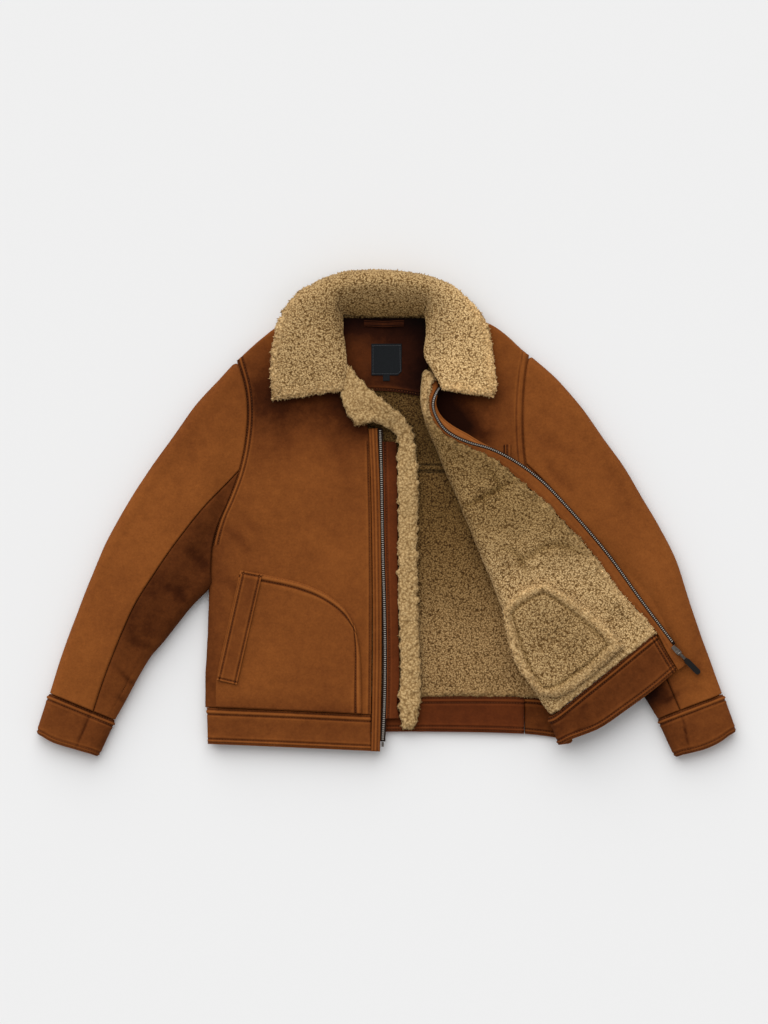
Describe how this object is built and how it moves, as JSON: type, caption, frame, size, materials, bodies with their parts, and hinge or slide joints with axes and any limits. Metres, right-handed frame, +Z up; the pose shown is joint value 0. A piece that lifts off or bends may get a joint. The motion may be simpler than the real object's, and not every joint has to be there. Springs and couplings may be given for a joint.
{
  "type": "shearling jacket",
  "caption": "Short suede shearling jacket with wool lining and wide wool collar, laid flat and unzipped, one front folded open over its sleeve.",
  "frame": {"origin": "under the middle of the laid-out jacket, on the surface it lies on", "axes": "+X to the wearer's left, +Y from the hem towards the collar, +Z up from the surface"},
  "size_m": [1.0442, 0.7282, 0.054],
  "materials": {
    "suede": "napped suede, matt",
    "wool": "short curly sheared wool",
    "zip_metal": "dark antique metal",
    "pull_leather": "smooth dark leather",
    "label_cloth": "blank dark woven label"
  },
  "bodies": {
    "garment": {"back_panel": "wool", "back_yoke": "wool", "back_hem": "suede", "right_front": "suede", "right_hem": "suede", "right_placket": "suede", "right_zip": "zip_metal", "right_zip_pin": "zip_metal", "right_pocket": "suede", "right_pocket_welt": "suede", "wind_flap_wool": "wool", "wind_flap": "suede", "neck_facing": "suede", "neck_label": "label_cloth", "size_tab": "label_cloth", "hanger_loop": "suede", "collar": "wool", "left_front": "wool", "left_zip_facing": "suede", "left_zip": "zip_metal", "chest_welt": "suede", "left_hem": "suede", "left_pocket_bag": "wool", "right_sleeve_top": "suede", "right_sleeve_under": "suede", "right_cuff": "suede", "left_sleeve_top": "suede", "left_sleeve_under": "suede", "left_cuff": "suede", "zip_slider": "zip_metal"},
    "zip_pull": {"pull_link": "zip_metal", "pull_tab": "pull_leather"}
  },
  "joints": [
    {"name": "pull_swing", "type": "hinge", "parent": "garment", "child": "zip_pull", "pos_m": [0.43807, -0.20938, 0.0449], "axis": [-0.7104, -0.7038, 0], "range_deg": [0, 130]}
  ]
}
